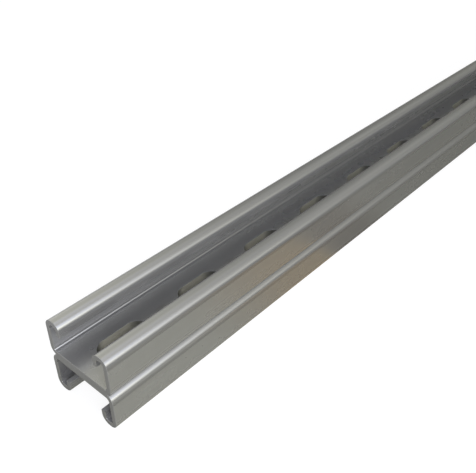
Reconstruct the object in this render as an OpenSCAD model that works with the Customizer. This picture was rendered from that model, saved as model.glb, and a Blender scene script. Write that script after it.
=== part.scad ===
// Strut channel, back to back: two slotted channels, each cold rolled from one strip of
// galvanised sheet, spot welded web to web. The stock lies along X, its lower channel opens
// downwards and its upper channel opens upwards. The origin is the centre of the underside.

/* [Stock] */
// Length that the stock is cut to
stock_length = 1000; // [200:50:3000]

/* [Rolled section] */
// Width of a channel over its side walls
channel_width = 41.3; // [40:0.1:60]
// Depth of one channel, from the back of its web to the top of its lips
channel_depth = 20.65; // [18:0.05:45]
// Thickness of the strip
sheet = 2.5; // [1.5:0.1:3]
// Outer radius of every bend
bend_radius = 4.3; // [3.2:0.05:4.6]
// Width of the lengthwise mouth between the two lips
mouth_width = 22.3; // [16:0.1:23.5]
// Depth that the lips turn back into the channel
lip_depth = 7; // [5:0.1:9]

/* [Slots in the webs] */
// Length of a slot from end to end
slot_length = 28; // [16:0.5:40]
// Width of a slot
slot_width = 14; // [8:0.5:16]
// Distance from one slot's centre to the next
slot_pitch = 50; // [45:1:150]
// Distance from the cut end to the centre of the first slot
first_slot = 25; // [20.5:0.5:75]

/* [Hidden] */
$fn = 96;

// How far a cutting shape runs past the face that it opens
past = 1;
inner_radius = bend_radius - sheet;
inner_width = channel_width - 2 * sheet;
// Clear width of the pocket that each lip closes off below the top of a channel
pocket_width = (channel_width - mouth_width) / 2 - 2 * sheet;
pocket_centre = mouth_width / 2 + sheet + pocket_width / 2;
lip_tip = channel_depth - lip_depth;
// As many slots as fit while the last one stays as far from its end as the first
slot_count = floor((stock_length - 2 * first_slot) / slot_pitch) + 1;

zinc = [0.66, 0.67, 0.66];

// A rectangle centred on Y that stands on the axis, with its two lower corners round
module pan(width, height, radius) {
    translate([-width / 2 + radius, 0]) square([width - 2 * radius, height]);
    translate([-width / 2, radius]) square([width, height - radius]);
    for (side = [-1, 1])
        translate([side * (width / 2 - radius), radius]) circle(radius);
}

// What lies outside a round corner whose arc meets the lines above it and beside it
module corner_waste(radius) {
    difference() {
        square(radius + past);
        circle(radius);
    }
}

// Section of one channel, its web on the axis and its mouth up
module channel_section() {
    difference() {
        translate([-channel_width / 2, 0]) square([channel_width, channel_depth]);
        // The four outer bends: two beside the web and two under the top of the walls
        for (side = [0, 1], end = [0, 1])
            mirror([side, 0])
                translate([channel_width / 2 - bend_radius,
                           end ? channel_depth - bend_radius : bend_radius])
                    mirror([0, 1 - end]) corner_waste(bend_radius);
        // The trough, from the web up to the tips of the lips
        translate([0, sheet]) pan(inner_width, lip_tip - sheet, inner_radius);
        // The mouth, with the outer bends of the lips beside it
        translate([-mouth_width / 2, lip_tip - past])
            square([mouth_width, lip_depth + 2 * past]);
        for (side = [0, 1])
            mirror([side, 0])
                translate([mouth_width / 2 + bend_radius, channel_depth - bend_radius])
                    mirror([1, 0]) corner_waste(bend_radius);
        // The pocket between each lip and its side wall
        for (side = [-1, 1])
            translate([side * pocket_centre, channel_depth - sheet])
                mirror([0, 1]) pan(pocket_width, lip_depth - sheet + past, inner_radius);
    }
}

// A slot with round ends, lying along X
module slot_outline() {
    flat_length = slot_length - slot_width;
    square([flat_length, slot_width], center = true);
    for (side = [-1, 1])
        translate([side * flat_length / 2, 0]) circle(d = slot_width);
}

// The row of slots punched through one web
module web_slots() {
    for (i = [0 : slot_count - 1])
        translate([-stock_length / 2 + first_slot + i * slot_pitch, 0, -past])
            linear_extrude(sheet + 2 * past) slot_outline();
}

// One rolled and punched channel, the back of its web on the ground and its mouth up
module slotted_channel() {
    difference() {
        translate([-stock_length / 2, 0, 0])
            rotate([90, 0, 90]) linear_extrude(stock_length) channel_section();
        web_slots();
    }
}

module lower_channel() {
    color(zinc) translate([0, 0, channel_depth]) mirror([0, 0, 1]) slotted_channel();
}

module upper_channel() {
    color(zinc) translate([0, 0, channel_depth]) slotted_channel();
}

lower_channel();
upper_channel();
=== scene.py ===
# %% [markdown]
# # A slotted strut channel, two sections back to back
# Strut channel begins as a flat strip of galvanised steel. A press punches a row of slots in it, a rolling
# mill folds it into a channel with turned-in lips, and two such channels are spot welded web to web.
# This lesson follows the factory: the flat strip with its cut edges first, then the rolling, then the zinc.

# %% Load the frame
import math
import bpy
import numpy as np
from mathutils import Matrix, Vector


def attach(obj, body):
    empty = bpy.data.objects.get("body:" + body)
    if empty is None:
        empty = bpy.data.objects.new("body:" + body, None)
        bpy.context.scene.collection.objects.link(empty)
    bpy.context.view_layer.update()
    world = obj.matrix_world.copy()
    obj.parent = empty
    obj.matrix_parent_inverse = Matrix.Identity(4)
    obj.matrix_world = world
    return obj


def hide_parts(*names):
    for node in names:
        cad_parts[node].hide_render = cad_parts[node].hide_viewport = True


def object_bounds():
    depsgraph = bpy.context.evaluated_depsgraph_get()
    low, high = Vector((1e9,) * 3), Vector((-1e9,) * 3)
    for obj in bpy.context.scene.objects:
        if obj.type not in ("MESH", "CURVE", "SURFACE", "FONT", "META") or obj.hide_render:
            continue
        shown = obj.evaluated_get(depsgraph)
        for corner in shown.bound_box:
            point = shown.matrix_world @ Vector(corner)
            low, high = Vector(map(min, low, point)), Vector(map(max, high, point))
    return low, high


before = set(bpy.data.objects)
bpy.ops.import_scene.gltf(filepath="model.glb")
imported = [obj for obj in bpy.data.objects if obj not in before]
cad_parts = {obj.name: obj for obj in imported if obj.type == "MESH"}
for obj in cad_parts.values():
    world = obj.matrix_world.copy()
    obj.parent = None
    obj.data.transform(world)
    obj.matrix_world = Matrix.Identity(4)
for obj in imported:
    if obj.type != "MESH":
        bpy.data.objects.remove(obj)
cad_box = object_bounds()
print("frame", [tuple(round(value, 4) for value in corner) for corner in cad_box])

# %% [markdown]
# ## The camera
# The stock lies along X, with its near end at the lowest X. The camera stands before that end and to the
# right of it, and looks down and slantwise along the stock. A Track To constraint could aim it, but a place
# and three angles say the same and can be read off directly.

# %% Camera
NEAR_END = cad_box[0][0]
HEADING = math.radians(41.430)
TILT = math.radians(34.738)
ROLL = math.radians(0.302)
EYE = Vector((NEAR_END - 0.0975, -0.1764, 0.2237))
SENSOR_WIDTH = 36
LENS = 47.946
NEAREST = 0.005


def camera_axes():
    """Right, up and back: the heading's view direction, tipped down, then turned about itself."""
    flat = math.cos(TILT)
    forward = Vector((flat * math.cos(HEADING), flat * math.sin(HEADING), -math.sin(TILT)))
    right = forward.cross(Vector((0, 0, 1))).normalized()
    down = forward.cross(right)
    level, lean = math.cos(ROLL), math.sin(ROLL)
    return level * right + lean * down, lean * right - level * down, -forward


camera_data = bpy.data.cameras.new("camera")
camera_data.sensor_fit = "HORIZONTAL"
camera_data.sensor_width = SENSOR_WIDTH
camera_data.lens = LENS
camera_data.clip_start = NEAREST
camera = bpy.data.objects.new("camera", camera_data)
camera.matrix_world = Matrix.Translation(EYE) @ Matrix(camera_axes()).transposed().to_4x4()
bpy.context.scene.collection.objects.link(camera)
bpy.context.scene.camera = camera
print("camera at", [round(value, 3) for value in EYE])

# %% [markdown]
# ## Shader maths that reads like arithmetic
# A material is a tree of small nodes. Each Math node could be made and linked by hand, but that hides the
# formula. So one class wraps an output socket and turns + - * / and ** into Math nodes, and abs(), exp() and
# between() into the few other nodes that work on numbers.


# %% Signals
class Signal:
    """A number that varies from point to point: one output socket with Python's arithmetic."""

    def __init__(self, sheet, socket):
        self.sheet, self.socket = sheet, socket

    def math(self, operation, *operands):
        """A Math node, whose operands are signals or plain numbers."""
        settings = {"operation": operation}
        made = self.sheet.add("ShaderNodeMath", settings, dict(enumerate(operands)))
        return self.sheet.read(made, "Value")

    def __add__(self, other):
        return self.math("ADD", self, other)

    def __sub__(self, other):
        return self.math("SUBTRACT", self, other)

    def __rsub__(self, other):
        return self.math("SUBTRACT", other, self)

    def __mul__(self, other):
        return self.math("MULTIPLY", self, other)

    def __truediv__(self, other):
        return self.math("DIVIDE", self, other)

    def __pow__(self, other):
        return self.math("POWER", self, other)

    __radd__ = __add__
    __rmul__ = __mul__

    def __abs__(self):
        return self.math("ABSOLUTE", self)

    def exp(self):
        """e to the power of this signal."""
        return self.math("EXPONENT", self)

    def at_least(self, least):
        """This signal, but never below least."""
        return self.math("MAXIMUM", self, least)

    def between(self, low, high):
        """0 below low, 1 above high, smooth between them."""
        values = {"Value": self, "From Min": low, "From Max": high}
        made = self.sheet.add("ShaderNodeMapRange", {"interpolation_type": "SMOOTHSTEP"}, values)
        return self.sheet.read(made, "Result")


# %% [markdown]
# ## One method for every other node
# Every node has a type, some settings and some sockets that take a value or a link. A helper for each kind
# of node would be a long list, so one method takes the three and makes any of them.


# %% Sheets
class Sheet:
    """A node tree to write on."""

    def __init__(self, owner):
        owner.use_nodes = True
        owner.node_tree.nodes.clear()
        self.tree = owner.node_tree

    def add(self, kind, settings=None, values=None):
        """Any node, from its type, its settings and the values or links of its sockets."""
        made = self.tree.nodes.new(kind)
        for name, setting in (settings or {}).items():
            setattr(made, name, setting)
        for name, value in (values or {}).items():
            self.feed(made.inputs[name], value)
        return made

    def feed(self, socket, value):
        """A signal is linked to the socket, and anything else is its value."""
        if isinstance(value, Signal):
            self.tree.links.new(value.socket, socket)
        else:
            socket.default_value = value

    def read(self, made, name):
        """One output of a node, as a signal."""
        return Signal(self, made.outputs[name])

    def mix(self, share, first, second):
        """A colour from first to second. The Mix node's colour sockets are its seventh and eighth."""
        made = self.add("ShaderNodeMix", {"data_type": "RGBA"}, {0: share, 6: first, 7: second})
        return Signal(self, made.outputs[2])


# %% [markdown]
# ## Soft light all round
# Zinc is half a mirror, so what stands round it matters as much as the lamps. Here it is broad light behind
# the camera and on both sides, something like a window on the right, and a dim room beyond the stock. The
# bends shine on the camera's side, and the far stretch grows darker. Area lamps could do it, but metal
# mirrors their hard outline. So the world itself glows in soft lobes without any edge.

# %% Lobes of the world
# What glows, its azimuth from +X and its elevation in degrees, its sharpness, and its colour at the middle.
LOBES = [
    ("sky over the stock", 0, 90, 14, (0.88, 0.91, 1.22)),
    ("ceiling to the right", -60, 65, 12, (0.44, 0.43, 0.34)),
    ("ceiling to the left", 60, 65, 12, (0.72, 0.71, 0.54)),
    ("far end of the room", 0, 20, 6, (0.23, 0.23, 0.18)),
    ("window frame", -65, 22, 60, (0.42, 0.46, 0.66)),
    ("window pane", -80, 23, 70, (3.45, 3.48, 3.15)),
    ("top of the window", -75, 42, 40, (0.80, 0.93, 1.45)),
    ("near top of the window", -68, 46, 60, (0.28, 0.30, 0.42)),
    ("window sill", -85, 9, 60, (1.80, 1.78, 1.50)),
    ("far part of the window", -48, 15, 150, (0.22, 0.22, 0.20)),
    ("far part of the sill", -38, 5, 150, (0.22, 0.22, 0.20)),
    ("far top of the window", -15, 36, 150, (0.20, 0.20, 0.18)),
    ("wall about the window", -75, 25, 10, (1.24, 1.22, 1.02)),
    ("left wall", 75, 30, 20, (1.08, 1.08, 0.96)),
    ("low light from the left", 125, 6, 8, (0.75, 0.75, 0.70)),
    ("low light beside the stock", 88, 5, 20, (1.60, 1.60, 1.52)),
    ("room behind the camera", -155, 28, 4, (0.62, 0.62, 0.68)),
]


def toward(azimuth, elevation):
    """The unit vector at an azimuth from +X and an elevation above the floor, both in degrees."""
    turn, rise = math.radians(azimuth), math.radians(elevation)
    return math.cos(rise) * math.cos(turn), math.cos(rise) * math.sin(turn), math.sin(rise)


def lobe(sheet, direction, azimuth, elevation, sharpness, colour):
    """A soft glow about one direction: colour times e to the power of sharpness (cos angle - 1)."""
    values = {0: direction, 1: toward(azimuth, elevation)}
    facing = sheet.read(sheet.add("ShaderNodeVectorMath", {"operation": "DOT_PRODUCT"}, values), "Value")
    strength = ((facing - 1) * sharpness).exp()
    glow = sheet.add("ShaderNodeVectorMath", {"operation": "SCALE"}, {0: colour, "Scale": strength})
    return sheet.read(glow, "Vector")


print(len(LOBES), "soft lobes")

# %% [markdown]
# ## White to the camera only
# A catalogue picture has a plain white ground. A brighter world would make one, but it would bleach the
# metal too. The Light Path node knows what kind of ray arrives, so white goes to the camera's rays, and a
# share of it to the rays that metal or glass sends on.

# %% How much white a ray meets
MIRRORED_WHITE = 0.02


def white_share(sheet, seen, mirrored):
    """How much white a ray meets: `seen` if the camera sent it, `mirrored` if a shiny surface did."""
    path = sheet.add("ShaderNodeLightPath")
    bounced = sheet.read(path, "Is Glossy Ray") + sheet.read(path, "Is Transmission Ray")
    return sheet.read(path, "Is Camera Ray") * seen + bounced * mirrored


print("mirrored rays meet", MIRRORED_WHITE, "of the white")


# %% [markdown]
# ## The world
# Each lobe could be a Background shader, joined to the others by Add Shaders. Adding the colours first takes
# only one Background, and Vector Math nodes do it, because a Math node would turn them grey. A Mix Shader
# then lays the white backdrop over the lobes.

# %% World
world = bpy.data.worlds.new("studio")
bpy.context.scene.world = world
studio = Sheet(world)
direction = studio.read(studio.add("ShaderNodeTexCoord"), "Generated")
glow = (0, 0, 0)
for _, azimuth, elevation, sharpness, colour in LOBES:
    one = lobe(studio, direction, azimuth, elevation, sharpness, colour)
    glow = studio.read(studio.add("ShaderNodeVectorMath", {"operation": "ADD"}, {0: glow, 1: one}), "Vector")
lit = studio.add("ShaderNodeBackground", values={"Color": glow})
white = studio.add("ShaderNodeBackground", values={"Color": (1, 1, 1, 1)})
backdrop = studio.add("ShaderNodeMixShader", values={
    0: white_share(studio, 1.0, MIRRORED_WHITE),
    1: studio.read(lit, "Background"),
    2: studio.read(white, "Background"),
})
studio.add("ShaderNodeOutputWorld", values={"Surface": studio.read(backdrop, "Shader")})
print("world of", len(world.node_tree.nodes), "nodes")

# %% [markdown]
# ## One lamp near the end
# The stock is brightest at its near end and fades along its length. The world lights both ends alike, so
# only a lamp close by can do that. It is a square softbox to the right of the camera, aimed at the near end,
# and large enough for its mirror image to stay soft.

# %% Lamp
LAMP_AT = Vector((NEAR_END - 0.25, -0.45, 0.35))
LAMP_AIM = Vector((NEAR_END + 0.10, 0.0, 0.03))
LAMP_POWER = 3.1
LAMP_COLOUR = (0.88, 0.89, 1.0)
LAMP_SIZE = 0.35

lamp_data = bpy.data.lights.new("softbox", "AREA")
lamp_data.energy = LAMP_POWER
lamp_data.color = LAMP_COLOUR
lamp_data.size = LAMP_SIZE
lamp = bpy.data.objects.new("softbox", lamp_data)
turned_to_aim = (LAMP_AIM - LAMP_AT).to_track_quat("-Z", "Y").to_matrix().to_4x4()
lamp.matrix_world = Matrix.Translation(LAMP_AT) @ turned_to_aim
bpy.context.scene.collection.objects.link(lamp)
print("lamp", round((LAMP_AIM - LAMP_AT).length, 2), "m from the stock")

# %% [markdown]
# ## A pale floor
# The floor is one flat square, far larger than the stock. A box would do as well, but its sides and its
# underside would never be seen.

# %% Floor
FLOOR_SIZE = 20

x, y = np.array([[-1, 1, 1, -1], [-1, -1, 1, 1]]) * FLOOR_SIZE / 2
floor_mesh = bpy.data.meshes.new("floor")
floor_mesh.from_pydata(np.column_stack([x, y, np.zeros(4)]).tolist(), [], [(0, 1, 2, 3)])
floor = bpy.data.objects.new("floor", floor_mesh)
bpy.context.scene.collection.objects.link(floor)
print("floor", FLOOR_SIZE, "m square")

# %% [markdown]
# ## White paper, with painted light for the metal to mirror
# The camera sees white paper with a faint shadow. The side walls of the stock mirror the floor beside them,
# and a white floor would bleach them, so every other ray meets painted light and shade on it: a pool of
# light near the end, dimmer beyond it and to the right, with a light brown lit stretch beside the stock and
# a pale lit strip on the left, which also glows a little in the metal's reflections.
# Two floors with different ray visibility could do it, but one floor keeps the shadow where it belongs.

# %% Painted light on the floor
# Painted light and shade that the metal mirrors in the floor: a pool of light near the end, dimmer beyond, a
# warm lit stretch, a shaded stretch, shade to the right and a pale lit strip on the left.
PAINTED_POOL_NEAR_END = (0.35, 0.345, 0.26, 1)
PAINTED_FLOOR_BEYOND = (0.19, 0.185, 0.14, 1)
PAINTED_WARM_LIGHT = (0.34, 0.245, 0.10, 1)
PAINTED_SHADE_STRETCH = (0.11, 0.09, 0.05, 1)
PAINTED_SHADE_RIGHT = (0.08, 0.08, 0.06, 1)
PAINTED_LIGHT_LEFT = (0.75, 0.75, 0.73, 1)

# Where each change of colour starts and ends, in metres from the near end or from the stock's middle line.
BEYOND_NEAR = (0.05, 0.30)
WARM_STARTS = (0.06, 0.14)
WARM_ENDS = (0.16, 0.18)
DIM_ENDS = (0.20, 0.24)
RIGHT_STARTS = (0.06, 0.22)
LEFT_STARTS = (0.025, 0.06)


def painted_floor_light(sheet, from_end, to_left):
    """The floor's painted light and shade: one colour over the other, each where its stretch of the floor
    is.
    """
    colour = sheet.mix(from_end.between(*BEYOND_NEAR), PAINTED_POOL_NEAR_END, PAINTED_FLOOR_BEYOND)
    on_warm = from_end.between(*WARM_STARTS) * (1 - from_end.between(*WARM_ENDS))
    on_dim = from_end.between(*WARM_ENDS) * (1 - from_end.between(*DIM_ENDS))
    colour = sheet.mix(on_dim, sheet.mix(on_warm, colour, PAINTED_WARM_LIGHT), PAINTED_SHADE_STRETCH)
    colour = sheet.mix((to_left * -1).between(*RIGHT_STARTS), colour, PAINTED_SHADE_RIGHT)
    return sheet.mix(to_left.between(*LEFT_STARTS), colour, PAINTED_LIGHT_LEFT)


print("the light brown stretch ends", WARM_ENDS[0], "m from the near end")

# %% Paper
PAPER = (0.9, 0.9, 0.9, 1)
PAPER_SHARE = 0.8
PAPER_GLOW = 1.1
MIRRORED_LEFT = 0.25

paper = bpy.data.materials.new("paper")
sheet = Sheet(paper)
seen = sheet.read(sheet.add("ShaderNodeLightPath"), "Is Camera Ray")
place = sheet.add("ShaderNodeSeparateXYZ", values={0: sheet.read(sheet.add("ShaderNodeTexCoord"), "Object")})
from_end, to_left = sheet.read(place, "X") - NEAR_END, sheet.read(place, "Y")
matte = sheet.add("ShaderNodeBsdfPrincipled", values={
    "Base Color": sheet.mix(seen, painted_floor_light(sheet, from_end, to_left), PAPER),
    "Roughness": 1.0,
    "Specular IOR Level": 0.0,
})
shining = sheet.add("ShaderNodeEmission", values={"Strength": PAPER_GLOW})
# On the left the floor also glows a little to mirrored rays: painted light for the metal to reflect.
mirrored = MIRRORED_WHITE + to_left.between(*LEFT_STARTS) * MIRRORED_LEFT
blend = sheet.add("ShaderNodeMixShader", values={
    0: white_share(sheet, PAPER_SHARE, mirrored),
    1: sheet.read(matte, "BSDF"),
    2: sheet.read(shining, "Emission"),
})
sheet.add("ShaderNodeOutputMaterial", values={"Surface": sheet.read(blend, "Shader")})
floor_mesh.materials.append(paper)
print("paper of", len(paper.node_tree.nodes), "nodes")

# %% [markdown]
# ## The sizes of the stock
# The outer sizes come from the frame, so the scene follows the CAD model. The rest are the rolled section's
# own sizes. They could be typed in where they are used, but a size that is named once stays the same
# everywhere. All of them are in metres.

# %% Sizes
MM = 0.001
LENGTH = cad_box[1][0] - cad_box[0][0]
WIDTH = cad_box[1][1] - cad_box[0][1]
DEPTH = (cad_box[1][2] - cad_box[0][2]) / 2
SHEET = 2.5 * MM
BEND = 4.3 * MM
MOUTH = 22.3 * MM
LIP = 7 * MM
SLOT_LENGTH = 28 * MM
SLOT_WIDTH = 14 * MM
SLOT_PITCH = 50 * MM
FIRST_SLOT = 25 * MM
SLOT_COUNT = round((LENGTH - 2 * FIRST_SLOT) / SLOT_PITCH) + 1
print("stock", round(LENGTH, 4), "m long with", SLOT_COUNT, "slots")

# %% [markdown]
# ## Rolling as a function
# The mill bends the strip without stretching its middle layer, so a point of the flat strip keeps its
# distance along that layer. The section is walked like a path: straight on, a quarter turn, straight on.
# A sweep of a drawn outline would give the same walls, but a function of the flat strip also carries the
# slots, the cut edges and the grain of the zinc to where they belong.

# %% The walk across the strip
MIDDLE = BEND - SHEET / 2
QUARTER = MIDDLE * math.pi / 2
WALK = [
    ("web", WIDTH / 2 - BEND, 0),
    ("web bend", QUARTER, 1),
    ("wall", DEPTH - 2 * BEND, 0),
    ("shoulder bend", QUARTER, 1),
    ("flange", (WIDTH - MOUTH) / 2 - 2 * BEND, 0),
    ("lip bend", QUARTER, 1),
    ("lip", LIP - BEND, 0),
]
HALF_STRIP = sum(length for _, length, _ in WALK)


def walk(distance):
    """Centre of the sheet and heading after `distance` from the middle of the web.

    A straight stretch adds its length times (cos heading, sin heading). A bend of radius r turns the
    heading by length / r and adds r times the change of (sin heading, -cos heading).
    """
    y, z, heading = np.zeros_like(distance), np.zeros_like(distance), np.zeros_like(distance)
    start, turned = 0.0, 0.0
    for _, length, bends in WALK:
        gone = np.clip(distance - start, 0, length)
        if bends:
            now = turned + gone / MIDDLE
            y += MIDDLE * (np.sin(now) - math.sin(turned))
            z += MIDDLE * (math.cos(turned) - np.cos(now))
            heading += gone / MIDDLE
            turned += math.pi / 2
        else:
            y += gone * math.cos(turned)
            z += gone * math.sin(turned)
        start += length
    return y, z, heading


print("the strip is", round(2 * HALF_STRIP / MM, 2), "mm wide before rolling")


# %% Roll points and normals
def roll(points, normals):
    """Carries points (along, across, up) and their normals from the flat strip to the rolled channel.

    The place is the walk's centre plus `up` times the direction to the inside of the channel,
    (-sin heading, cos heading), and the left half is the right one mirrored.
    """
    along, across, up = np.moveaxis(points, -1, 0)
    side = np.where(across < 0, -1.0, 1.0)
    y, z, heading = walk(np.abs(across))
    sin, cos = np.sin(heading), np.cos(heading)
    placed = np.stack([along, side * (y - up * sin), DEPTH + SHEET / 2 + z + up * cos], -1)
    n_along, n_across, n_up = np.moveaxis(normals, -1, 0)
    out = side * n_across
    turned = np.stack([n_along, side * (out * cos - n_up * sin), out * sin + n_up * cos], -1)
    return placed, turned


lip_edge, _ = roll(np.array([[0, HALF_STRIP, 0]]), np.array([[0, 0, 1]]))
print("the lip's edge comes to y, z =", np.round(lip_edge[0, 1:] / MM, 2), "mm")

# %% [markdown]
# ## The strip's plan
# Each slot sits in a rectangle of its own, and each spot weld in a narrow one between two slots. Radial
# lines join the hole's edge to the rectangle. The rectangles meet the long plain grids of the side walls
# at the same points. A Boolean modifier could cut the slots, but it leaves slivers and no order. This way
# the whole strip closes without a seam.

# %% Stations of one rectangle
CELL = 40 * MM
WEB_HALF = 12 * MM
CORE = (SLOT_LENGTH - SLOT_WIDTH) / 2
SLOT_RADIUS = SLOT_WIDTH / 2
RAYS_TO_END = 13
RAYS_TO_SIDE = 7
WELD_STATIONS = 3

corner_angle = math.atan2(WEB_HALF, CELL / 2 - CORE)
end_angles = np.linspace(-corner_angle, corner_angle, RAYS_TO_END)
side_angles = np.linspace(corner_angle, math.pi / 2, RAYS_TO_SIDE)
ACROSS_WEB = (CELL / 2 - CORE) * np.tan(end_angles)
right_half = CORE + WEB_HALF / np.tan(side_angles)
right_half[-1] = CORE
ALONG_CELL = np.concatenate([-right_half, [0.0], right_half[::-1]])
ALONG_WELD = np.linspace(CELL / 2, SLOT_PITCH - CELL / 2, WELD_STATIONS + 2)[1:-1]
print(len(ALONG_CELL), "points along a slot's rectangle,", len(ACROSS_WEB), "across it")


# %% From the rectangle to the slot
def rectangle(along, across):
    """The closed outline, anticlockwise from its lower left corner, through the given stations."""
    sides = [
        np.column_stack([along, np.full(len(along), across[0])]),
        np.column_stack([np.full(len(across), along[-1]), across]),
        np.column_stack([along[::-1], np.full(len(along), across[-1])]),
        np.column_stack([np.full(len(across), along[0]), across[::-1]]),
    ]
    loop = np.concatenate([side[:-1] for side in sides])
    return np.concatenate([loop, loop[:1]])


def slot_edge(outline, inset):
    """The slot's outline, `inset` into the metal: the nearest point of its core line, then radially out."""
    core = np.column_stack([np.clip(outline[:, 0], -CORE, CORE), np.zeros(len(outline))])
    radial = outline - core
    radial /= np.linalg.norm(radial, axis=1, keepdims=True)
    return core + (SLOT_RADIUS + inset) * radial, -radial


CELL_OUTLINE = rectangle(ALONG_CELL, ACROSS_WEB)
edge, _ = slot_edge(CELL_OUTLINE, 0.0)
print("the slot measures", np.round(np.ptp(edge, axis=0) / MM, 2), "mm")

# %% [markdown]
# ## Cut edges
# A punch or a slitter first drags the sheet's surface down a little and then shears it, so that one rim is
# rounded and the other nearly sharp. A bevel modifier could break the rims too. Here the edge is a profile
# carried along each cut line, which rounds both rims by their own radius and adds no other vertices.

# %% The side view of a cut edge
ROUND_STEPS = 4
ROLLOVER = 0.20 * MM
BURR = 0.10 * MM
TRIM = 0.20 * MM


def edge_profile(upper, lower):
    """From the upper face round to the lower one: inset, height, and the outward and upward normal.

    Two quarter circles joined by the sheared wall: inset = r (1 - sin a), and the height is
    r (1 - cos a) below the upper face or above the lower one.
    """
    a = np.linspace(0, math.pi / 2, ROUND_STEPS + 1)
    inset = np.concatenate([upper * (1 - np.sin(a)), lower * (1 - np.sin(a[::-1]))])
    height = np.concatenate([SHEET / 2 - upper * (1 - np.cos(a)), lower * (1 - np.cos(a[::-1])) - SHEET / 2])
    outward = np.concatenate([np.sin(a), np.sin(a[::-1])])
    upward = np.concatenate([np.cos(a), -np.cos(a[::-1])])
    return inset, height, outward, upward


def edge_band(rim, profile):
    """Carries a profile along a cut line. rim(inset) gives the line and the direction out of the metal."""
    rows, turns = [], []
    for inset, height, outward, upward in zip(*profile):
        line, out = rim(inset)
        level_part = np.broadcast_to(outward * out, line.shape)
        rows.append(np.column_stack([line, np.full(len(line), height)]))
        turns.append(np.column_stack([level_part, np.full(len(line), upward)]))
    return np.stack(rows, 1), np.stack(turns, 1)


print(len(edge_profile(ROLLOVER, BURR)[0]), "points from face to face")

# %% [markdown]
# ## Spot welds
# The electrodes leave a shallow round dent on the inside of each web, halfway between two slots. A normal
# map could fake it, but the dent shows at a low angle, so rings of real points sink into the sheet.

# %% A dent in its rectangle
DENT_RADIUS = 3 * MM
DENT_DEPTH = 0.15 * MM
DENT_RINGS = np.array([1, 0.85, 0.68, 0.5, 0.3, 0.12, 0])


def weld_cell(face, dented):
    """Rings from the rectangle down to the middle of the dent: height = -depth (1 + cos(pi r / R)) / 2."""
    along = np.concatenate([[CELL / 2], ALONG_WELD, [SLOT_PITCH - CELL / 2]]) - SLOT_PITCH / 2
    outline = rectangle(along, ACROSS_WEB)
    reach = np.linalg.norm(outline, axis=1)
    unit = outline / reach[:, None]
    radius = np.column_stack([reach, *[np.full(len(reach), share * DENT_RADIUS) for share in DENT_RINGS]])
    wave = np.pi * np.minimum(radius / DENT_RADIUS, 1)
    depth = DENT_DEPTH if dented else 0.0
    height = face - np.sign(face) * depth * (1 + np.cos(wave)) / 2
    slope = np.sign(face) * depth * np.sin(wave) * np.pi / DENT_RADIUS / 2
    points = np.concatenate([radius[..., None] * unit[:, None], height[..., None]], -1)
    normals = np.concatenate([-slope[..., None] * unit[:, None], np.ones_like(height)[..., None]], -1)
    normals /= np.linalg.norm(normals, axis=-1, keepdims=True)
    return points, normals


dent_points, _ = weld_cell(SHEET / 2, True)
print("a dent is", round(np.ptp(dent_points[..., 2]) / MM, 3), "mm deep")

# %% [markdown]
# ## Stations of the whole strip
# The patches only close where they share their points. Loop cuts could place the points by eye, but here
# the distances along and across are worked out once, and every grid uses them. Bends get close stations
# and flats only a few, because a flat wall gains nothing from more.

# %% Stations along and across
TIP = 2.5 * MM
BEND_STEPS = 9
FLAT_STEPS = 2


def stations_along():
    """Each slot's own stations, then the weld's, repeated by the pitch, with a close pair at each end."""
    starts = -LENGTH / 2 + FIRST_SLOT + SLOT_PITCH * np.arange(SLOT_COUNT)
    steps = np.concatenate([ALONG_CELL, ALONG_WELD])
    inner = (starts[:, None] + steps).ravel()[:len(starts) * len(steps) - len(ALONG_WELD)]
    tip = np.array([LENGTH / 2, LENGTH / 2 - TIP])
    return np.concatenate([-tip, inner, tip[::-1]])


def stations_across():
    """From the web's rectangles to the lip's edge: each stretch of the walk in equal steps."""
    marks, start = [np.array([WEB_HALF])], 0.0
    for _, length, bends in WALK:
        count = BEND_STEPS if bends else FLAT_STEPS
        marks.append(start + length * np.arange(1, count + 1) / count)
        start += length
    marks = np.concatenate(marks)
    return marks[marks >= WEB_HALF]


X_ALL = stations_along()
S_SIDE = stations_across()
S_ALL = np.concatenate([-S_SIDE[::-1], ACROSS_WEB[1:-1], S_SIDE])
print(len(X_ALL), "stations along,", len(S_ALL), "across")

# %% [markdown]
# ## The two faces of the strip
# Each face is two long grids, one for each side wall with its flange and lip, and between them a row of slot
# rings and weld rings. One big grid with holes could be cut, but then the holes would have stepped edges.


# %% Faces of the strip
def plane_grid(along, across, face):
    """A flat grid of the plan at one face of the sheet."""
    x, s = np.meshgrid(along, across, indexing="ij")
    points = np.stack([x, s, np.full_like(x, face)], -1)
    return points, np.zeros_like(points) + [0, 0, 1]


def shifted(patch, distance):
    """The same patch farther along the stock."""
    points, normals = patch
    return points + [distance, 0, 0], normals


def plan_patches(face, trim, slot_inset):
    """All patches of one face: two side grids, the ends of the web, then the slots' and the welds' rings."""
    x_in = np.clip(X_ALL, -LENGTH / 2 + trim, LENGTH / 2 - trim)
    s_in = np.clip(S_SIDE, 0, HALF_STRIP - trim)
    patches = [plane_grid(x_in, s_in, face), plane_grid(x_in, -s_in[::-1], face)]
    patches += [plane_grid(x_in[:3], ACROSS_WEB, face), plane_grid(x_in[-3:], ACROSS_WEB, face)]
    inner, _ = slot_edge(CELL_OUTLINE, slot_inset)
    ring = np.stack([CELL_OUTLINE, inner], 1)
    ring = np.concatenate([ring, np.full(ring.shape[:2] + (1,), face)], -1)
    slot_ring = ring, np.zeros_like(ring) + [0, 0, 1]
    first = -LENGTH / 2 + FIRST_SLOT
    patches += [shifted(slot_ring, first + i * SLOT_PITCH) for i in range(SLOT_COUNT)]
    weld = weld_cell(face, face > 0)
    patches += [shifted(weld, first + (i + 0.5) * SLOT_PITCH) for i in range(SLOT_COUNT - 1)]
    return patches


UPPER_FACE = plan_patches(SHEET / 2, TRIM, ROLLOVER)
LOWER_FACE = plan_patches(-SHEET / 2, TRIM, BURR)
print(len(UPPER_FACE), "patches on each face")

# %% [markdown]
# ## The sheared walls
# The same edge profile runs round every slot, along the strip's two long edges and across its two ends. A
# Solidify modifier would join the faces too, but with square rims.


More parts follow.
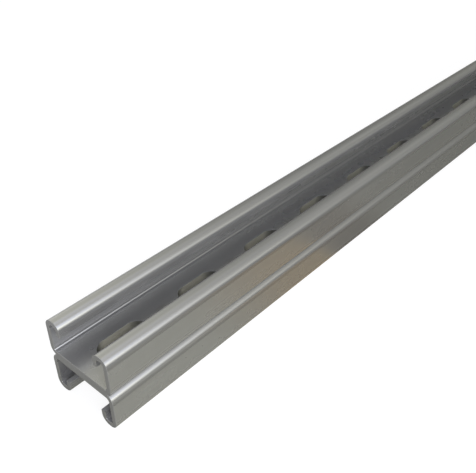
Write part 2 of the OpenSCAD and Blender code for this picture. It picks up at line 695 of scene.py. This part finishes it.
# %% Walls between the faces
def edge_patches():
    """The sheared walls of the slots, of the two long edges and of the two ends."""
    slot_wall = edge_band(lambda inset: slot_edge(CELL_OUTLINE, inset), edge_profile(ROLLOVER, BURR))
    first = -LENGTH / 2 + FIRST_SLOT
    patches = [shifted(slot_wall, first + i * SLOT_PITCH) for i in range(SLOT_COUNT)]
    profile = edge_profile(TRIM, TRIM)
    for sign in (-1, 1):
        def long_edge(inset):
            x = np.clip(X_ALL, -LENGTH / 2 + inset, LENGTH / 2 - inset)[::sign]
            line = np.column_stack([x, np.full(len(x), sign * (HALF_STRIP - inset))])
            return line, np.array([[0.0, sign]])

        def cut_end(inset):
            s = np.clip(S_ALL, -HALF_STRIP + inset, HALF_STRIP - inset)[::-sign]
            line = np.column_stack([np.full(len(s), sign * (LENGTH / 2 - inset)), s])
            return line, np.array([[float(sign), 0]])

        patches += [edge_band(long_edge, profile), edge_band(cut_end, profile)]
    return patches


WALLS = edge_patches()
print(len(WALLS), "sheared walls")

# %% [markdown]
# ## One closed mesh
# The patches are stacked, and points that fall together are made one, as Merge by Distance would. Working on
# the arrays keeps each face corner's own data: the normal that its patch worked out, so that bends shade
# round and sheared rims stay crisp, its place on the flat strip, and whether it is bare steel.


# %% Stack the patches
def grid_faces(rows, columns):
    """Corner numbers of the quads of a grid, anticlockwise about (row direction x column direction)."""
    a = np.arange((rows - 1) * columns).reshape(rows - 1, columns)[:, :-1]
    return np.stack([a, a + columns, a + columns + 1, a + 1], -1).reshape(-1, 4)


def gather(upper, lower, walls):
    """Stacks the patches: points, normals, quads by corner number, and 1 for each bare quad.

    The zinc was dragged along over the upper rim of a cut edge, so bare steel starts below it.
    """
    points, normals, quads, sheared, offset = [], [], [], [], 0
    for group, turn, cut in ((upper, False, False), (lower, True, False), (walls, False, True)):
        for place, normal in group:
            rows, columns = place.shape[:2]
            faces = grid_faces(rows, columns)
            points.append(place.reshape(-1, 3))
            normals.append((-normal if turn else normal).reshape(-1, 3))
            quads.append((faces[:, ::-1] if turn else faces) + offset)
            sheared.append(np.tile(cut * (np.arange(columns - 1) >= ROUND_STEPS), rows - 1))
            offset += rows * columns
    return [np.concatenate(part) for part in (points, normals, quads, sheared)]


FLAT, FLAT_NORMALS, QUADS, SHEARED = gather(UPPER_FACE, LOWER_FACE, WALLS)
print(len(QUADS), "quads on the flat strip,", int(SHEARED.sum()), "of them bare steel")

# %% Merge the points
MERGE = 0.001 * MM


def merged(points):
    """Makes one point of those that fall together, which is where they round to the same place.

    It returns the points kept, the quads' new corner numbers and which corners stay. A quad that closes on
    itself at a dent's middle loses its doubled corner.
    """
    grid = np.round(points / MERGE).astype(np.int64)
    _, first, shared = np.unique(grid, axis=0, return_index=True, return_inverse=True)
    corners = shared.reshape(-1)[QUADS]
    return points[first], corners, corners != np.roll(corners, 1, axis=1)


def faces_mesh(name, points, corners, kept):
    """A mesh of triangles and quads, filled from whole arrays."""
    counts = kept.sum(1)
    mesh = bpy.data.meshes.new(name)
    mesh.vertices.add(len(points))
    mesh.vertices.foreach_set("co", points.ravel())
    mesh.loops.add(int(counts.sum()))
    mesh.loops.foreach_set("vertex_index", corners[kept])
    mesh.polygons.add(len(counts))
    mesh.polygons.foreach_set("loop_start", np.cumsum(counts) - counts)
    mesh.update(calc_edges=True)
    return mesh


print("points that round to the same", round(MERGE / MM, 4), "mm become one")

# %% [markdown]
# ## Two channels
# The upper channel is the rolled strip itself. The lower one is the same strip turned half a turn about the
# stock's length, so that the webs lie together and its mouth is below. A Mirror modifier would do it as
# well, but a half turn keeps the faces pointing outwards by itself.


# %% Roll a strip into a channel
def strip_mesh(name, turned_over):
    """The rolled channel. Its UV map holds the place on the flat strip, in metres: along and across."""
    placed, normals = roll(FLAT, FLAT_NORMALS)
    if turned_over:
        placed = placed * [1, -1, -1] + [0, 0, 2 * DEPTH]
        normals = normals * [1, -1, -1]
    points, corners, kept = merged(placed)
    mesh = faces_mesh(name, points, corners, kept)
    source = QUADS[kept]
    layout = mesh.uv_layers.new(name="strip")
    layout.data.foreach_set("uv", FLAT[source, :2].ravel())
    mark = mesh.attributes.new("sheared", "FLOAT", "CORNER")
    mark.data.foreach_set("value", np.repeat(SHEARED, 4).reshape(-1, 4)[kept])
    mesh.normals_split_custom_set(normals[source].tolist())
    return mesh


def channel(name, turned_over):
    """A channel that stands for its CAD node and moves with the only body."""
    piece = bpy.data.objects.new(name + "_strip", strip_mesh(name, turned_over))
    bpy.context.scene.collection.objects.link(piece)
    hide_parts(name)
    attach(piece, "root")
    print(name, len(piece.data.vertices), "points,", len(piece.data.polygons), "faces")
    return piece


upper = channel("upper_channel", False)
lower = channel("lower_channel", True)

# %% [markdown]
# ## Galvanised steel
# Hot zinc freezes on the strip as a soft grey coat: part mirror, part chalk. The mill leaves faint streaks
# along it and a low mottling. A tiled picture of zinc would show its repeats along a metre of stock, so
# the pattern is noise, read from the flat strip, and it runs on round the bends as the real one does.

# %% Noise on the flat strip
STREAK_LENGTH = 120 * MM
STREAK_WIDTH = 4 * MM
HAZE_LENGTH = 90 * MM
HAZE_WIDTH = 30 * MM
GRAIN = 6 * MM


def noise(sheet, along, across):
    """Noise about 0.5 whose grain is one unit of the two coordinates."""
    place = sheet.add("ShaderNodeCombineXYZ", values={0: along, 1: across})
    made = sheet.add("ShaderNodeTexNoise", {"noise_dimensions": "2D"},
                     {"Vector": sheet.read(place, "Vector"), "Scale": 1.0, "Detail": 0.0})
    return sheet.read(made, "Fac")


print("streaks", round(STREAK_LENGTH / MM), "mm long and", round(STREAK_WIDTH / MM), "mm wide")

# %% [markdown]
# ## What the mill and the press leave, and painted shade
# The rolls polish the bends. A thin dark line beside one bend of each channel is painted shade, strongest
# near the cut ends of the stock. The punch drags the zinc over each slot's rim and leaves it matte, and the
# rims are painted darker as well, a painted shade. A weld leaves a dull ring. A mask painted by hand could
# hold each mark.
# Here it is a distance on the flat strip and a soft window about it, so it follows the shape exactly.

# %% Windows for the marks
# A painted shade: a thin dark line along one bend, stronger near both cut ends of the stock.
DARK_LINE_WIDTH = 1.3 * MM
DARK_LINE_SHARE = 0.3
DARK_LINE_NEAR_ENDS = 0.4
DARK_LINE_ENDS = (LENGTH / 2 - 200 * MM, LENGTH / 2 - 60 * MM)


def on_bends(distance):
    """1 within the rolled bends, 0 on the flats: a soft window about the middle of each bend."""
    share, start = 0, 0.0
    for _, length, bends in WALK:
        if bends:
            off_middle = abs(distance - (start + length / 2))
            share = share + (1 - off_middle.between(length / 2 - MM, length / 2 + MM))
        start += length
    return share


def on_painted_dark_line(along, distance, wall_end):
    """A painted shade: the dark line at one end of the wall, stronger near the cut ends of the stock."""
    at_wall_end = 1 - abs(distance - wall_end).between(DARK_LINE_WIDTH / 4, DARK_LINE_WIDTH)
    return at_wall_end * (DARK_LINE_SHARE + DARK_LINE_NEAR_ENDS * abs(along).between(*DARK_LINE_ENDS))


def away_from_ends(along):
    """1 along the stock, 0 close to its two ends."""
    return 1 - abs(along).between(LENGTH / 2 - FIRST_SLOT / 2, LENGTH / 2 - FIRST_SLOT / 4)


def from_weld(along):
    """Distance along the stock from the nearest spot weld. The slots' middles are the farthest from one."""
    return along.math("PINGPONG", along, SLOT_PITCH / 2)


def on_slot_rims(along, across):
    """1 on the rolled-over rim of each slot, 0 beyond it, by the distance from the slot's core line."""
    past_core = (SLOT_PITCH / 2 - from_weld(along) - CORE).at_least(0.0)
    reach = (past_core ** 2 + across ** 2) ** 0.5
    return 1 - reach.between(SLOT_RADIUS + ROLLOVER, SLOT_RADIUS + 2 * ROLLOVER)


def on_welds(along, across):
    """1 in the dent of each spot weld, fading to 0 at twice its radius."""
    reach = (from_weld(along) ** 2 + across ** 2) ** 0.5
    return (1 - reach.between(DENT_RADIUS, 2 * DENT_RADIUS)) * away_from_ends(along)


print("the rolls' line fades out", round(DARK_LINE_WIDTH / MM, 1), "mm to either side of its middle")

# %% [markdown]
# ## The colours
# Zinc is mottled on the flats and even on the bends. Sheared walls are bare steel: sawn grey at the ends,
# and khaki in the slots, painted much lighter there as painted light, with painted shade darkening their
# round ends. A separate material for each could be given to the faces, but zinc, cut and weld fade into each
# other, so one shader holds them all.

# %% Zinc and bare steel
ZINC = (0.43, 0.43, 0.42, 1)
ZINC_DULL = (0.37, 0.37, 0.36, 1)
# Painted dark zinc: the painted shade of the dark line along a bend and of the slots' darker rims.
PAINTED_DARK_ZINC = (0.24, 0.24, 0.24, 1)
HEATED_ZINC = (0.30, 0.29, 0.27, 1)
SAWN_STEEL = (0.235, 0.235, 0.225, 1)
# In the slots the khaki steel is painted lighter than bare steel, a painted light, and painted shade darkens
# each slot's round ends.
PUNCHED_STEEL_PAINTED_LIGHT = (0.62, 0.60, 0.49, 1)
PAINTED_SLOT_END_SHADE = (0.17, 0.17, 0.15, 1)
# How strongly the slots' rims are painted darker: a painted shade that dims their highlight.
RIM_PAINTED_SHADE = 0.8
WELD_SHARE = 0.5
SLOT_END_SHADE_STARTS = (0.8 * CORE, 0.9 * SLOT_LENGTH / 2)


def zinc_colour(sheet, along, across, marks, wall_end):
    """From the flats' mottling through bends, the painted dark line and the painted darker rims to the
    welds, one over the other.
    """
    dullness, rolled, slot_rims = marks
    colour = sheet.mix(rolled, sheet.mix(dullness, ZINC, ZINC_DULL), ZINC)
    # Painted shade: the dark line along the bend.
    colour = sheet.mix(on_painted_dark_line(along, abs(across), wall_end), colour, PAINTED_DARK_ZINC)
    # Painted shade on the slots' rims. Their matte roughness below is the zinc's own.
    colour = sheet.mix(slot_rims * RIM_PAINTED_SHADE, colour, PAINTED_DARK_ZINC)
    return sheet.mix(on_welds(along, across) * WELD_SHARE, colour, HEATED_ZINC)


def steel_colour(sheet, along, across):
    """Sawn steel, and near the middle of the web khaki steel painted lighter, with painted shade where a
    slot's side ends.
    """
    in_slots = (1 - abs(across).between(SLOT_WIDTH / 2 + MM, WEB_HALF)) * away_from_ends(along)
    off_middle = SLOT_PITCH / 2 - from_weld(along)
    slot_walls_painted = sheet.mix(off_middle.between(*SLOT_END_SHADE_STARTS), PUNCHED_STEEL_PAINTED_LIGHT, PAINTED_SLOT_END_SHADE)
    return sheet.mix(in_slots, SAWN_STEEL, slot_walls_painted)


print("zinc", ZINC[:3], "on the bends, mottled towards", ZINC_DULL[:3], "on the flats")

# %% [markdown]
# ## The finish
# The bends are the smoothest, the flats satin, the sheared walls and the slots' rims matte. A Glossy and a
# Diffuse shader could be mixed for this, but one Principled shader does both. Metallic 1 would lose the
# chalky part of the zinc, so it stays at about two thirds. The relief is only a few thousandths of a
# millimetre, and a Bump node is enough for that.

# %% One finish for each channel
METALLIC = 0.65
SHEARED_METALLIC = 0.1
ROUGHNESS = 0.28
ROUGHNESS_SPREAD = 0.1
BEND_ROUGHNESS = 0.12
SHEARED_ROUGHNESS = 0.6
RELIEF = 0.002 * MM


def galvanised(name, wall_end):
    """Zinc and bare steel. A value between two others is first + share * (second - first)."""
    material = bpy.data.materials.new(name)
    sheet = Sheet(material)
    strip = sheet.read(sheet.add("ShaderNodeUVMap", {"uv_map": "strip"}), "UV")
    place = sheet.add("ShaderNodeSeparateXYZ", values={0: strip})
    along, across = sheet.read(place, "X"), sheet.read(place, "Y")
    cut = sheet.read(sheet.add("ShaderNodeAttribute", {"attribute_name": "sheared"}), "Fac")
    streak = noise(sheet, along / STREAK_LENGTH, across / STREAK_WIDTH)
    haze = noise(sheet, along / HAZE_LENGTH, across / HAZE_WIDTH)
    grain = noise(sheet, along / GRAIN, across / GRAIN)
    dullness = (streak + 2 * haze + grain) / 4
    rolled, slot_rims = on_bends(abs(across)), on_slot_rims(along, across)
    zinc = zinc_colour(sheet, along, across, (dullness, rolled, slot_rims), wall_end)
    roughness = ROUGHNESS + (dullness - 0.5) * ROUGHNESS_SPREAD + rolled * (BEND_ROUGHNESS - ROUGHNESS)
    roughness = roughness + slot_rims * (SHEARED_ROUGHNESS - ROUGHNESS)
    bump = sheet.add("ShaderNodeBump", values={"Height": grain + streak, "Distance": RELIEF})
    metal = sheet.add("ShaderNodeBsdfPrincipled", values={
        "Base Color": sheet.mix(cut, zinc, steel_colour(sheet, along, across)),
        "Metallic": METALLIC + cut * (SHEARED_METALLIC - METALLIC),
        "Roughness": roughness + cut * (SHEARED_ROUGHNESS - roughness),
        "Normal": sheet.read(bump, "Normal"),
    })
    sheet.add("ShaderNodeOutputMaterial", values={"Surface": sheet.read(metal, "BSDF")})
    return material


print("roughness from", BEND_ROUGHNESS, "on the bends to", SHEARED_ROUGHNESS, "on the sheared walls")

# %% [markdown]
# ## Which bend carries the painted dark line
# On both channels the painted dark line runs along the bend that faces up: the shoulder bend above the upper
# channel's wall, and the web bend of the lower channel, which lies upside down. On the walk across the strip
# these are the wall's far end and its near end. A mask on the mesh could say which, but here each channel
# gets a finish of its own, made by the same function from one number.

# %% Give each channel its finish
wall_starts = sum(length for _, length, _ in WALK[:2])
wall_stops = sum(length for _, length, _ in WALK[:3])
for piece, wall_end in ((upper, wall_stops), (lower, wall_starts)):
    finish = galvanised(piece.name + "_zinc", wall_end)
    piece.data.materials.append(finish)
    print("finish", finish.name, "of", len(finish.node_tree.nodes), "nodes")

# %% [markdown]
# ## Colours as written
# The Standard view shows a colour as it is written, and a film-like view would shift it.

# %% Picture settings
bpy.context.scene.view_settings.view_transform = "Standard"
